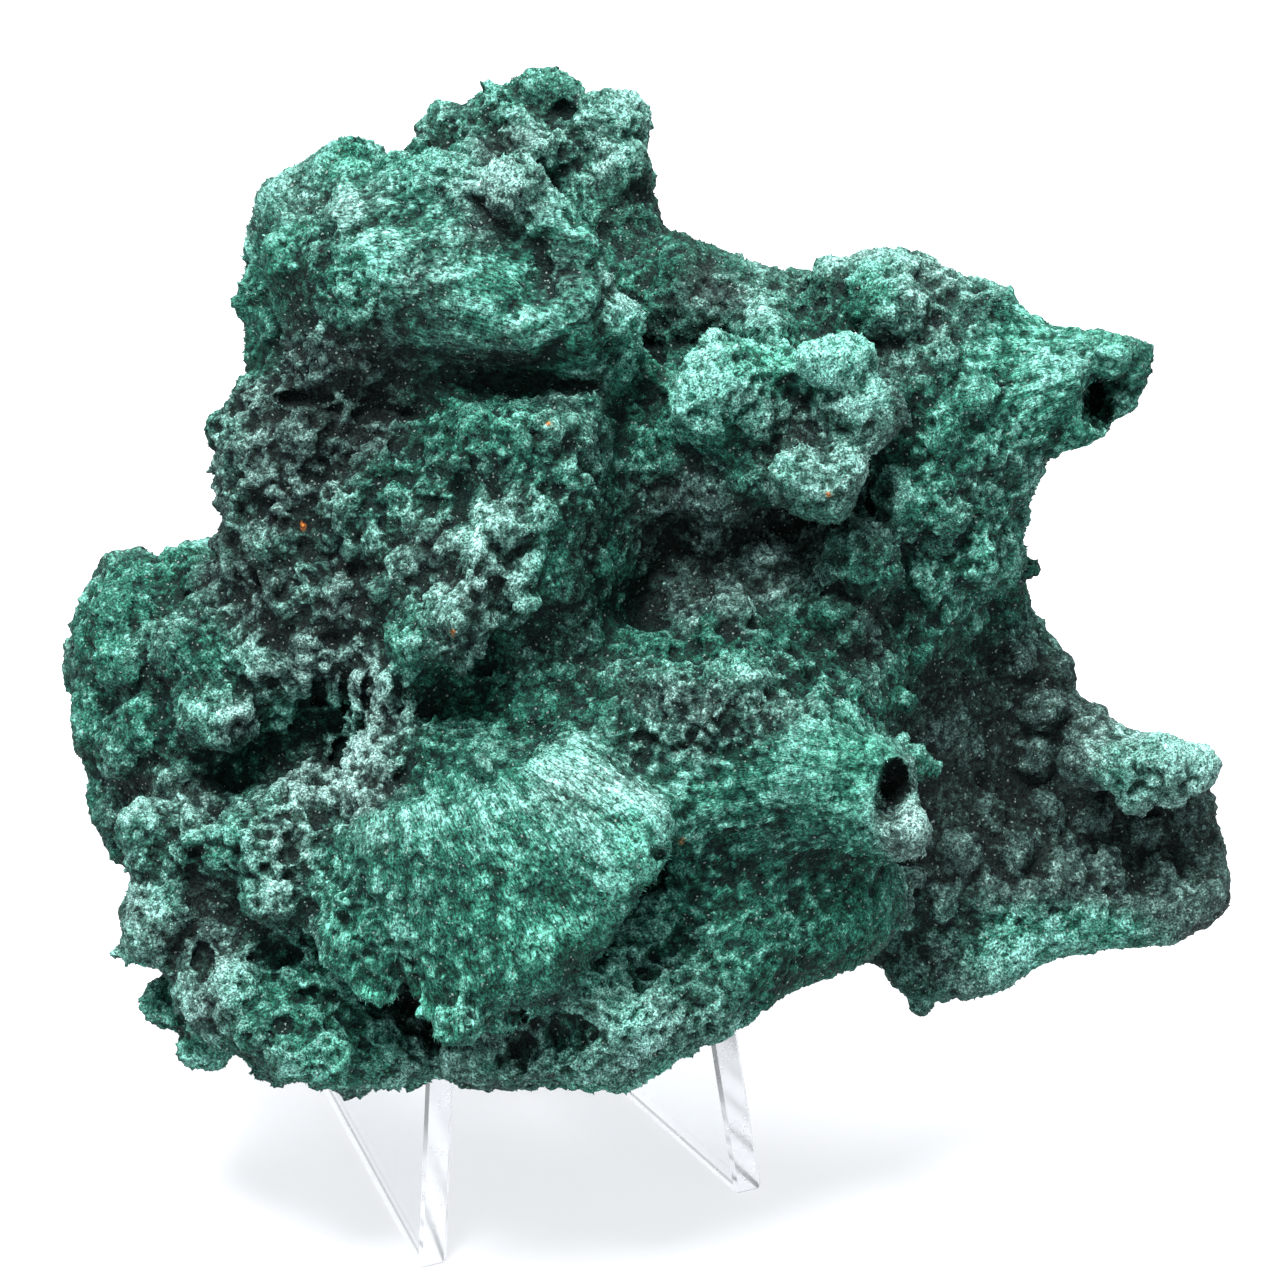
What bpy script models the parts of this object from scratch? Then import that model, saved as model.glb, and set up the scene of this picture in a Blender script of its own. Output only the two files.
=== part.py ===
"""Fibrous malachite specimen standing on a clear acrylic easel.

The specimen is one grown piece: botryoidal lobes, a fan shaped plate, two hollow fibre
bundles and a thin shelf behind them, all fused. The easel is two splayed side plates and
the brace glued between them. Metres, +Z up, the easel faces -Y, feet at Z = 0.
"""

import math

import bmesh
import bpy
from mathutils import Matrix, Vector, noise

MM = 0.001

# How the specimen sits on the easel, seen from its display side.
LEAN = math.radians(25)
TURN = math.radians(-24)
CENTRE_HEIGHT = 58.7

# The easel: cast acrylic sheet.
SHEET = 3.0
FRONT_SPACING = 35.2
EASEL_LEFT_OF_CENTRE = 11.0
FRONT_EDGE = -13.0
SPLAY = math.tan(math.radians(5.7))
INWARD_LEAN = math.tan(math.radians(5.5))
SEAT_LIP = 2.5
SEAT_FRONT_HEIGHT = 20.6
SEAT_BACK_HEIGHT = 17.5
SEAT_LENGTH = 32.8
REST_HEIGHT = 74.0
REST_SLOPE = math.tan(math.radians(25))
REST_WIDTH = 11.0
TIP_CUT = 3.5
EASEL_LENGTH = 74.0
GLUE_GAP = 0.3
REST_GAP = 0.45
BRACE_FROM = 46.0
BRACE_LOW = 5.0
BRACE_HIGH = 16.0
EDGE_BEVEL = 0.35

# The stone's mesh.
VOXEL = 0.8
CUTTER_VOXEL = 0.4
TRIANGLES = 9300
SMOOTHINGS = 2
LUMP_SIZE = 8.0
LUMP_RISE = 1.6
KNOB_RADIUS = 0.78
KNOB_MIDDLE = 0.74
KNOB_WARP = 0.3
WARP_SIZE = 4.0
WARP_SHIFTS = (Vector((0, 0, 0)), Vector((7, 3, 5)), Vector((2, 9, 4)))
ZONE_SHARPNESS = 3
LEAST_WEIGHT = 0.02

# Lobes of the specimen in millimetres, seen from the display side and measured from the
# centre of the view: (across, up, out), (half width, half height, half depth), roll.
HEAD = [
    ((-21.5, 34.8, 6), (16.5, 11.0, 13), -6),
    ((-14.0, 31.5, 12), (13.0, 6.4, 8.5), -8),
    ((-29.3, 46.2, 3), (5.0, 3.9, 6), 0),
    ((-20.3, 44.4, 11), (5.2, 4.0, 5), 0),
    ((-12.2, 43.0, 12), (4.4, 3.4, 5), -10),
    ((-8.0, 39.6, 12.5), (3.6, 3.6, 5), 0),
    ((-5.0, 35.6, 13), (3.2, 3.8, 5), 0),
    ((-2.6, 30.8, 12), (3.8, 3.6, 5), 0),
    ((-1.2, 27.0, 8), (3.6, 3.4, 5), 0),
    ((-34.5, 43.5, 1), (4.0, 3.6, 5), 30),
    ((-37.0, 39.2, -1), (3.4, 3.8, 5), 0),
    ((-37.6, 34.6, -1), (3.2, 3.2, 5), 0),
    ((-36.6, 29.8, -1), (3.8, 4.2, 5), 0),
    ((-30.0, 27.5, 8), (7.0, 5.0, 7), 10),
]
TOP_KNOB = [
    ((-10.8, 50.6, -14), (9.0, 4.6, 8), -5),
    ((-8.6, 55.2, -14), (4.2, 3.9, 5), 0),
    ((-19.4, 51.2, -14), (4.4, 4.0, 6), 0),
    ((-14.5, 53.4, -14), (3.4, 2.8, 5), 0),
    ((-3.4, 51.2, -13), (4.0, 4.0, 6), 0),
    ((-1.9, 47.6, -12), (3.6, 4.0, 5), 0),
    ((-4.0, 44.2, -12), (6.5, 6.0, 9), 0),
]
UPPER_RIDGE = [
    ((4.8, 32.8, -8), (12.0, 8.2, 12), -14),
    ((14.8, 31.0, -7), (10.5, 7.4, 12), 0),
    ((25.0, 31.4, -3), (9.5, 8.3, 12), 4),
    ((32.0, 29.6, -3), (7.5, 6.3, 9), -25),
    ((36.3, 34.4, -2), (2.4, 2.5, 3), 0),
]
HORN = [
    ((39.0, 26.0, -1), (9.0, 6.5, 7), 10),
    ((43.0, 30.2, -2), (7.0, 2.6, 4), 0),
    ((45.2, 27.8, 0), (5.0, 3.2, 5), 0),
    ((49.6, 29.2, -3), (3.0, 2.8, 4), 0),
    ((43.8, 21.4, 0), (4.2, 2.8, 4), 10),
    ((48.6, 24.4, -3), (2.4, 4.2, 3), -25),
]
RIGHT_BODY = [
    ((29.5, 21.0, -4), (11.5, 12.0, 13), 0),
    ((30.5, 9.5, -5), (8.0, 8.5, 11), 0),
    ((25.0, 3.0, -7), (10.0, 8.0, 10), 0),
    ((34.5, 16.5, -4), (5.8, 5.5, 8), 0),
    ((36.0, 9.0, -6), (4.0, 4.5, 6), 0),
    ((29.0, 13.5, 4), (4.5, 4.0, 5), 0),
]
COLUMN = [
    ((-12.5, 19.0, 9), (9.5, 10.0, 11), 0),
    ((-7.2, 20.5, 12), (3.9, 6.5, 7), 0),
    ((-13.0, 8.5, 10), (8.8, 8.5, 11), 0),
    ((-7.4, 12.5, 12), (3.8, 5.5, 8), 0),
    ((-18.6, 1.0, 18.5), (6.2, 3.6, 6.5), 22),
    ((-24.5, -2.8, 14), (2.6, 2.4, 5), 0),
    ((-13.0, 10.6, 18), (8.2, 2.8, 5), 12),
    ((-16.5, 16.5, 15), (3.2, 5.0, 5), 10),
    ((-9.0, 17.0, 16), (2.8, 5.0, 4), -8),
    ((-21.0, 8.0, 14), (3.4, 4.0, 5), 0),
    ((-8.0, 1.5, 5), (4.6, 8.5, 9), 0),
    ((-22.0, 4.0, 9), (6.0, 6.0, 7), 0),
    ((-24.5, -14.0, 13), (6.0, 5.0, 6), 0),
    ((-4.0, 12.0, 2), (4.5, 14.0, 8), 0),
    ((-10.5, -2.4, 8), (6.0, 5.0, 7), 0),
    ((-17.0, -8.5, 9), (13.0, 6.5, 9), 0),
]
CAULIFLOWER = [
    ((-34.0, 19.0, 2), (9.0, 8.6, 11), 0),
    ((-28.0, 22.0, 5), (9.0, 7.0, 9), 0),
    ((-34.5, 10.0, 2), (8.2, 8.0, 10), 0),
    ((-25.0, 13.0, 7), (9.0, 9.0, 9), 0),
    ((-30.5, 2.0, 5), (9.0, 8.0, 9), 0),
]
LEFT_BULGE = [
    ((-51.0, 0.3, -8), (7.6, 7.0, 10), 0),
    ((-54.0, -8.8, -9), (5.0, 5.6, 8), 0),
    ((-47.5, -11.0, -6), (9.0, 9.0, 10), 0),
    ((-50.4, 5.6, -9), (3.6, 3.0, 6), 0),
    ((-45.0, 6.8, -8), (4.5, 3.6, 7), 0),
    ((-50.0, -18.0, -8), (5.2, 5.6, 8), 0),
    ((-42.0, -3.0, 0), (9.0, 9.5, 10), 0),
]
LOWER_LEFT = [
    ((-43.0, -20.0, 0), (8.5, 8.5, 11), 0),
    ((-45.4, -28.8, 0), (6.6, 7.6, 9), 15),
    ((-40.0, -33.0, 2), (7.5, 7.5, 9), 0),
    ((-34.0, -21.5, 6), (9.5, 9.0, 9), 0),
    ((-44.4, -38.4, 1), (3.2, 3.2, 5), 0),
    ((-31.0, -38.4, 6), (8.5, 6.4, 9), 0),
    ((-37.0, -37.4, 4), (6.5, 5.6, 8), -15),
    ((-25.5, -41.2, 6), (3.4, 3.2, 5), 0),
]
FAN_PLATE = [
    ((-8.5, -15.8, 19.5), (12.5, 6.0, 5.0), -6),
    ((-17.5, -23.0, 21.5), (12.5, 9.0, 5.0), 0),
    ((-3.6, -20.0, 22), (8.4, 6.6, 4.4), 38),
    ((-5.6, -26.4, 22), (7.6, 4.6, 4.2), 38),
    ((-12.5, -31.6, 22), (8.0, 5.0, 4.4), 28),
    ((-17.5, -34.8, 21.5), (4.6, 4.2, 4.6), 0),
    ((-26.0, -29.0, 17), (4.8, 6.0, 5.5), 0),
]
BOTTOM_LOBE = [
    ((-4.0, -35.8, 8), (14.0, 9.3, 13), 8),
    ((-12.5, -40.0, 6), (9.0, 5.2, 9), -8),
    ((6.0, -32.5, 5), (14.0, 7.4, 12), 18),
    ((17.0, -27.4, 2), (12.0, 7.0, 10), 14),
]
NOSE = [
    ((10.0, -13.2, 9.5), (13.5, 9.5, 9.5), 4),
    ((16.5, -12.6, 14), (9.0, 7.4, 9.0), -12),
    ((23.4, -13.0, 17), (4.2, 4.6, 6), -15),
    ((25.4, -16.5, 16.5), (3.0, 4.4, 5.5), 10),
    ((24.6, -19.6, 15), (3.4, 2.6, 5.5), 0),
    ((22.4, -16.8, 16), (2.6, 3.8, 6), 0),
    ((27.4, -12.3, 9), (2.6, 3.2, 4), 0),
    ((5.0, -6.0, 11), (11.0, 5.6, 9.5), 6),
    ((13.0, -22.4, 5), (12.5, 7.0, 8.5), 18),
    ((3.5, -27.5, 8), (6.0, 5.0, 7), 30),
    ((14.0, -5.0, 9.5), (9.0, 4.6, 7.5), -20),
    ((23.5, -5.5, 4), (3.2, 5.0, 6), 0),
    ((-3.5, -9.5, 12), (6.5, 4.0, 6), 0),
    ((-0.5, -1.5, 5), (5.0, 4.0, 6), 0),
]
MIDDLE_KNOBS = [
    ((19.4, 26.8, 15), (4.4, 4.4, 5.5), 0),
    ((8.0, 24.8, 13), (5.8, 5.6, 6.5), -10),
    ((15.8, 21.2, 9), (5.2, 4.4, 5), 0),
    ((13.5, 26.5, 6), (4.0, 4.0, 6), 0),
    ((22.6, 21.4, 13), (3.8, 3.2, 5), 0),
    ((17.4, 15.0, 14), (5.4, 3.9, 5.5), 15),
    ((8.0, 15.5, 7), (4.6, 4.0, 5), 0),
    ((11.0, 18.0, 5), (8.0, 6.0, 7), 0),
    ((3.0, 19.0, 2), (6.0, 8.0, 8), 0),
    ((20.5, 8.5, 4), (5.5, 5.0, 6), 0),
    ((25.0, 26.0, 4), (5.0, 4.5, 7), 0),
]
BASIN = [
    ((7.0, 8.0, -5), (16.0, 14.0, 8), 0),
    ((14.0, 1.0, 1), (13.0, 6.0, 8), 0),
]
SHELF = [
    ((33.0, -6.0, -15), (12.0, 14.0, 6), 0),
    ((37.2, 3.0, -14), (3.6, 7.0, 4), -20),
    ((41.4, -4.0, -14), (3.6, 5.6, 4), -35),
    ((45.2, -8.8, -13), (4.4, 3.4, 4), -35),
    ((38.0, -17.0, -18), (15.0, 12.0, 6), 0),
    ((48.0, -20.5, -18), (11.0, 10.0, 5), 0),
    ((30.0, -25.5, -14), (16.0, 9.5, 7), 0),
    ((50.0, -28.6, -13), (11.0, 3.4, 5), 12),
    ((33.0, -34.0, -11), (9.5, 3.8, 5), 16),
    ((52.0, -12.3, -9), (7.8, 3.0, 7), -10),
    ((45.8, -12.6, -6), (3.8, 3.4, 5), 0),
    ((58.2, -26.6, -15), (3.4, 4.6, 4), 0),
    ((56.8, -18.5, -17), (4.0, 8.5, 4), 0),
    ((31.0, -16.5, -9), (3.2, 3.0, 3), 0),
    ((38.5, -19.5, -11), (3.4, 3.0, 3), 0),
    ((33.0, -22.5, -8), (3.4, 3.0, 3), 0),
    ((43.5, -24.5, -11), (4.0, 3.0, 3), 0),
]
BACK = [
    ((-15.0, 8.0, -14), (27.0, 30.0, 14), 0),
    ((-30.0, -15.0, -10), (20.0, 21.0, 14), 0),
    ((10.0, -8.0, -12), (26.0, 22.0, 13), 0),
    ((-7.0, 30.0, -10), (20.0, 12.0, 12), 0),
    ((20.0, 16.0, -10), (17.0, 17.0, 11), 0),
    ((-20.0, -28.0, -4), (20.0, 12.0, 12), 0),
]
# Knobs of the hidden underside and back, which bear on the right half of the easel.
BEARING = [
    ((0.7, -26.3, -18.4), (8.0, 8.0, 8.0), 0),
    ((-17.5, 12.9, -24.8), (9.0, 9.0, 8.5), 0),
]
# Hollows: the open ends of the two fibre bundles and the deepest clefts.
HOLLOWS = [
    ((46.3, 25.0, 3), (2.2, 2.8, 6.5), -10),
    ((24.0, -15.6, 23), (1.3, 2.6, 9), 8),
    ((-14.5, 25.0, 19), (12.0, 2.1, 9), -4),
    ((-27.0, 23.6, 14), (5.0, 1.3, 6), 12),
    ((49.5, -18.8, -6), (9.0, 3.0, 8), 0),
    ((4.6, -26.6, 18), (2.2, 10.0, 7.0), -38),
    ((-11.5, -39.8, 18), (9.0, 2.0, 6.0), 22),
    ((-28.5, -7.5, 12), (3.2, 1.6, 5), -20),
    ((-17.5, -5.6, 18), (8.5, 2.4, 7), 10),
    ((6.6, -16.5, 23), (1.5, 5.5, 5.5), 12),
    ((30.8, -10.0, 2), (1.5, 6.0, 7), 8),
    ((1.2, 25.0, 12), (1.7, 6.0, 6), 0),
    ((15.5, 9.8, 9), (6.5, 1.9, 6), 8),
]
# Where the skin is knobby: centre, reach, size of its knobs and how far they rise.
KNOB_ZONES = [
    ((-21, 33, 14), 14, 5.2, 1.5),
    ((-12, 52, -12), 11, 4.6, 3.4),
    ((-34, 14, 8), 12, 3.9, 4.2),
    ((-13, 12, 16), 11, 4.4, 3.2),
    ((-50, -6, -4), 13, 5.0, 3.4),
    ((-40, -30, 6), 13, 4.6, 3.6),
    ((-30, -12, 10), 9, 4.2, 3.6),
    ((-10, -22, 24), 15, 6.5, 1.0),
    ((5, -36, 8), 14, 4.2, 1.8),
    ((15, -12, 18), 12, 5.0, 1.4),
    ((18, 22, 10), 13, 5.6, 2.8),
    ((18, 33, -2), 14, 4.6, 2.6),
    ((44, 26, 0), 8, 5.0, 1.6),
    ((8, 8, 2), 11, 3.8, 1.8),
    ((42, -18, -14), 18, 3.6, 2.2),
    ((0, 0, -34), 30, 6.0, 2.6),
]
GROUPS = [
    HEAD, TOP_KNOB, UPPER_RIDGE, HORN, RIGHT_BODY, COLUMN, CAULIFLOWER, LEFT_BULGE,
    LOWER_LEFT, FAN_PLATE, BOTTOM_LOBE, NOSE, MIDDLE_KNOBS, BASIN, SHELF, BACK, BEARING,
]


def clear_scene():
    for old in list(bpy.data.objects):
        bpy.data.objects.remove(old, do_unlink=True)


def display_frame():
    """The frame in which the lobes are given: X across, Z up, -Y out of the display side."""
    placed = Matrix.Translation((0, 0, CENTRE_HEIGHT * MM))
    return placed @ Matrix.Rotation(TURN, 4, "Z") @ Matrix.Rotation(-LEAN, 4, "X")


def material(name, colour, roughness, metallic=0.0, transmission=0.0):
    made = bpy.data.materials.new(name)
    made.use_nodes = True
    shader = made.node_tree.nodes["Principled BSDF"]
    shader.inputs["Base Color"].default_value = (*colour, 1)
    shader.inputs["Roughness"].default_value = roughness
    shader.inputs["Metallic"].default_value = metallic
    shader.inputs["Transmission Weight"].default_value = transmission
    return made


def add_lobe(bm, lobe):
    """Adds one ellipsoid of the table to a bmesh, in metres."""
    (across, up, out), (wide, high, deep), roll = lobe
    matrix = (
        Matrix.Translation(Vector((across, -out, up)) * MM)
        @ Matrix.Rotation(math.radians(-roll), 4, "Y")
        @ Matrix.Diagonal((wide * MM, deep * MM, high * MM, 1))
    )
    bmesh.ops.create_icosphere(bm, subdivisions=3, radius=1, matrix=matrix)


def lobes_object(name, lobes):
    bm = bmesh.new()
    for lobe in lobes:
        add_lobe(bm, lobe)
    mesh = bpy.data.meshes.new(name)
    bm.to_mesh(mesh)
    bm.free()
    made = bpy.data.objects.new(name, mesh)
    bpy.context.collection.objects.link(made)
    return made


def voxel_remesh(obj, size):
    remesh = obj.modifiers.new("fuse", "REMESH")
    remesh.mode = "VOXEL"
    remesh.voxel_size = size * MM


def apply_modifiers(obj):
    """Replaces the object's mesh by its evaluated one."""
    bpy.context.view_layer.update()
    graph = bpy.context.evaluated_depsgraph_get()
    mesh = bpy.data.meshes.new_from_object(obj.evaluated_get(graph))
    obj.modifiers.clear()
    obj.data = mesh


def keep_outer_skin(obj):
    """Deletes every closed shell but the one with the most vertices, such as a sealed pocket."""
    bm = bmesh.new()
    bm.from_mesh(obj.data)
    left = set(bm.verts)
    shells = []
    while left:
        stack = [left.pop()]
        shell = set(stack)
        while stack:
            for edge in stack.pop().link_edges:
                for vert in edge.verts:
                    if vert in left:
                        left.remove(vert)
                        shell.add(vert)
                        stack.append(vert)
        shells.append(shell)
    shells.sort(key=len)
    for shell in shells[:-1]:
        bmesh.ops.delete(bm, geom=list(shell), context="VERTS")
    bm.to_mesh(obj.data)
    bm.free()


def knob_field(point, warp, size):
    """Round knobs with creases between them, from 0 in a crease to 1 on a crown."""
    distances, _ = noise.voronoi(point / size + warp)
    return math.sqrt(max(0, 1 - (distances[0] / KNOB_RADIUS) ** 2))


def growth(point):
    """How far the surface stands out at a point in millimetres: lumps, knobs and creases."""
    seen = Vector((point.x, point.z, -point.y))
    warp = Vector([noise.noise(point / WARP_SIZE + shift) for shift in WARP_SHIFTS]) * KNOB_WARP
    total = 0
    knobs = 0
    for centre, reach, size, rise in KNOB_ZONES:
        weight = math.exp(-ZONE_SHARPNESS * ((seen - Vector(centre)).length / reach) ** 2)
        total += weight
        if weight > LEAST_WEIGHT * total:
            knobs += weight * rise * (knob_field(point, warp, size) - KNOB_MIDDLE)
    return LUMP_RISE * noise.noise(point / LUMP_SIZE) + knobs / total


def roughen(obj):
    """Moves each vertex along its normal by the growth pattern."""
    mesh = obj.data
    normals = [vertex.normal.copy() for vertex in mesh.vertices]
    for vertex, normal in zip(mesh.vertices, normals):
        vertex.co += normal * (growth(vertex.co / MM) * MM)


def settle(obj):
    """Presses back what would stand into a side plate, so that the stone rests on it."""
    placed = display_frame()
    back_to_lobes = placed.inverted()
    half = SHEET / 2 + REST_GAP
    for vertex in obj.data.vertices:
        x, y, z = (placed @ vertex.co) / MM
        back = y - FRONT_EDGE
        near = abs(abs(x + EASEL_LEFT_OF_CENTRE) - side_offset(back, z))
        if near > half or back < 0:
            continue
        fall = (back - SEAT_LIP) / (SEAT_LENGTH - SEAT_LIP)
        seat = SEAT_FRONT_HEIGHT + (SEAT_BACK_HEIGHT - SEAT_FRONT_HEIGHT) * fall + REST_GAP
        rest = SEAT_LENGTH + (z - SEAT_BACK_HEIGHT) * REST_SLOPE - REST_GAP
        if back < SEAT_LENGTH and z < seat:
            z = seat
        elif back > rest:
            y = rest + FRONT_EDGE
        else:
            continue
        vertex.co = back_to_lobes @ (Vector((x, y, z)) * MM)


def make_stone():
    stone = lobes_object("malachite", [lobe for group in GROUPS for lobe in group])
    voxel_remesh(stone, VOXEL)
    smooth = stone.modifiers.new("soften", "SMOOTH")
    smooth.iterations = SMOOTHINGS
    apply_modifiers(stone)
    keep_outer_skin(stone)
    roughen(stone)
    voxel_remesh(stone, VOXEL)
    apply_modifiers(stone)
    cutter = lobes_object("hollows", HOLLOWS)
    voxel_remesh(cutter, CUTTER_VOXEL)
    cutter.hide_render = True
    cutter.display_type = "WIRE"
    cut = stone.modifiers.new("hollows", "BOOLEAN")
    cut.operation = "DIFFERENCE"
    cut.object = cutter
    voxel_remesh(stone, VOXEL)
    apply_modifiers(stone)
    keep_outer_skin(stone)
    settle(stone)
    thin = stone.modifiers.new("facets", "DECIMATE")
    thin.ratio = TRIANGLES / sum(len(face.vertices) - 2 for face in stone.data.polygons)
    stone.matrix_world = display_frame()
    cutter.matrix_world = display_frame()
    stone.data.materials.clear()
    stone.data.materials.append(material("malachite", (0.02, 0.13, 0.09), 0.75))
    return stone


def side_outline():
    """Side plate's outline: distance back from its front foot, and height."""
    rest_back = SEAT_LENGTH + (REST_HEIGHT - SEAT_BACK_HEIGHT) * REST_SLOPE
    return [
        (0.0, 0.0),
        (EASEL_LENGTH, 0.0),
        (rest_back + REST_WIDTH, REST_HEIGHT - TIP_CUT),
        (rest_back + REST_WIDTH - TIP_CUT, REST_HEIGHT),
        (rest_back, REST_HEIGHT),
        (SEAT_LENGTH, SEAT_BACK_HEIGHT),
        (SEAT_LIP, SEAT_FRONT_HEIGHT),
    ]


def side_offset(back, height):
    """Distance of a side plate's middle from the easel's centre line."""
    return FRONT_SPACING / 2 - back * SPLAY - height * INWARD_LEAN


def prism(name, outline, place):
    """A closed solid between two copies of an outline; place(point, end) puts each in mm."""
    bm = bmesh.new()
    ends = []
    for end in (-1, 1):
        ends.append([bm.verts.new(Vector(place(point, end)) * MM) for point in outline])
    bm.faces.new(ends[0])
    bm.faces.new(reversed(ends[1]))
    for i in range(len(outline)):
        j = (i + 1) % len(outline)
        bm.faces.new((ends[0][j], ends[0][i], ends[1][i], ends[1][j]))
    bmesh.ops.recalc_face_normals(bm, faces=bm.faces)
    mesh = bpy.data.meshes.new(name)
    bm.to_mesh(mesh)
    bm.free()
    made = bpy.data.objects.new(name, mesh)
    bpy.context.collection.objects.link(made)
    bevel = made.modifiers.new("edges", "BEVEL")
    bevel.width = EDGE_BEVEL * MM
    bevel.segments = 1
    bevel.limit_method = "ANGLE"
    return made


def make_side(name, hand):
    """One side plate; hand is -1 on the left and 1 on the right."""

    def place(point, end):
        back, height = point
        across = hand * side_offset(back, height) + end * SHEET / 2
        return (across - EASEL_LEFT_OF_CENTRE, FRONT_EDGE + back, height)

    return prism(name, side_outline(), place)


def make_brace():
    """The cross plate glued between the side plates behind the seat."""
    outline = [
        (BRACE_FROM, BRACE_LOW),
        (BRACE_FROM + SHEET, BRACE_LOW),
        (BRACE_FROM + SHEET, BRACE_HIGH),
        (BRACE_FROM, BRACE_HIGH),
    ]

    def place(point, end):
        back, height = point
        across = end * (side_offset(back, height) - SHEET / 2 - GLUE_GAP)
        return (across - EASEL_LEFT_OF_CENTRE, FRONT_EDGE + back, height)

    return prism("easel_brace", outline, place)


def stand_on_origin(objects):
    """Moves everything so that the box's bottom centre is the origin."""
    bpy.context.view_layer.update()
    graph = bpy.context.evaluated_depsgraph_get()
    shown = [obj.evaluated_get(graph) for obj in objects]
    points = [obj.matrix_world @ vertex.co for obj in shown for vertex in obj.data.vertices]
    low, high = [Vector([pick(point[i] for point in points) for i in range(3)]) for pick in (min, max)]
    shift = Vector((-(low.x + high.x) / 2, -(low.y + high.y) / 2, -low.z))
    for obj in objects:
        obj.matrix_world = Matrix.Translation(shift) @ obj.matrix_world


def main():
    clear_scene()
    stone = make_stone()
    acrylic = material("acrylic", (0.9, 0.93, 0.95), 0.05, transmission=1.0)
    easel = [make_side("easel_left_side", -1), make_side("easel_right_side", 1), make_brace()]
    for plate in easel:
        plate.data.materials.append(acrylic)
    stand_on_origin([stone, *easel])


main()
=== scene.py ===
"""Looks of the fibrous malachite specimen on its clear acrylic easel.

The stone's skin is grown over the frame's solid: clumps and knobs where the crust is
knobby, ribs where it is fibrous, holes in the open ends of the two bundles, and a nap of
fibre tips all over. Lengths in the tables are in millimetres, and places are seen from the
display side: (across, up, out) from the centre of the view.
"""
import math

import bmesh
import bpy
import numpy as np
from mathutils import Matrix, Vector


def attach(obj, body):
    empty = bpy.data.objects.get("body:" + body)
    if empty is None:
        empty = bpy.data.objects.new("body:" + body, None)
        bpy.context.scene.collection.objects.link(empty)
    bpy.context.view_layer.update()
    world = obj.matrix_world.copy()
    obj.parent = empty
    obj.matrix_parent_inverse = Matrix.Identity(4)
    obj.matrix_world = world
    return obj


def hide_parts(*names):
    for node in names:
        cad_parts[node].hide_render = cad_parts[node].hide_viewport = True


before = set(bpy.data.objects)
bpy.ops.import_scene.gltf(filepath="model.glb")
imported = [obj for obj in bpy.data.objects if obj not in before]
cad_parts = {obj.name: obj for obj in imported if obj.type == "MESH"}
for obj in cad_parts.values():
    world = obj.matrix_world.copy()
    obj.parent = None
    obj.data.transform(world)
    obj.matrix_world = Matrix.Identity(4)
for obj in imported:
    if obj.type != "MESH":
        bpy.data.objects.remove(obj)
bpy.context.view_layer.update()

MM = 0.001
SEED = 11
TINY = 1e-12

# The display side, as in the frame.
VIEW_CENTRE = Vector((-2.558, -12.547, 58.7)) * MM
TURN = math.radians(-24)
LEAN = math.radians(25)
DISPLAY = Matrix.Rotation(TURN, 3, "Z") @ Matrix.Rotation(-LEAN, 3, "X")

# Camera: distance, and the width of the view at the stone.
CAMERA_DISTANCE = 500 * MM
VIEW_WIDTH = 128 * MM
SENSOR = 36

# The skin's mesh: how far the solid's surface sinks before the crust grows on it, and more
# where small knobs cover it; voxels, pieces, triangles and smoothings.
BASE_SINK = 0.3
KNOB_SINK = 0.6
BASE_VOXEL = 0.7
SKIN_VOXEL = 0.36
SKIN_PARTS = ("left", "middle", "right")
PART_TRIANGLES = 196000
BASE_SMOOTHINGS = 10
SKIN_SMOOTHINGS = 1

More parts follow.
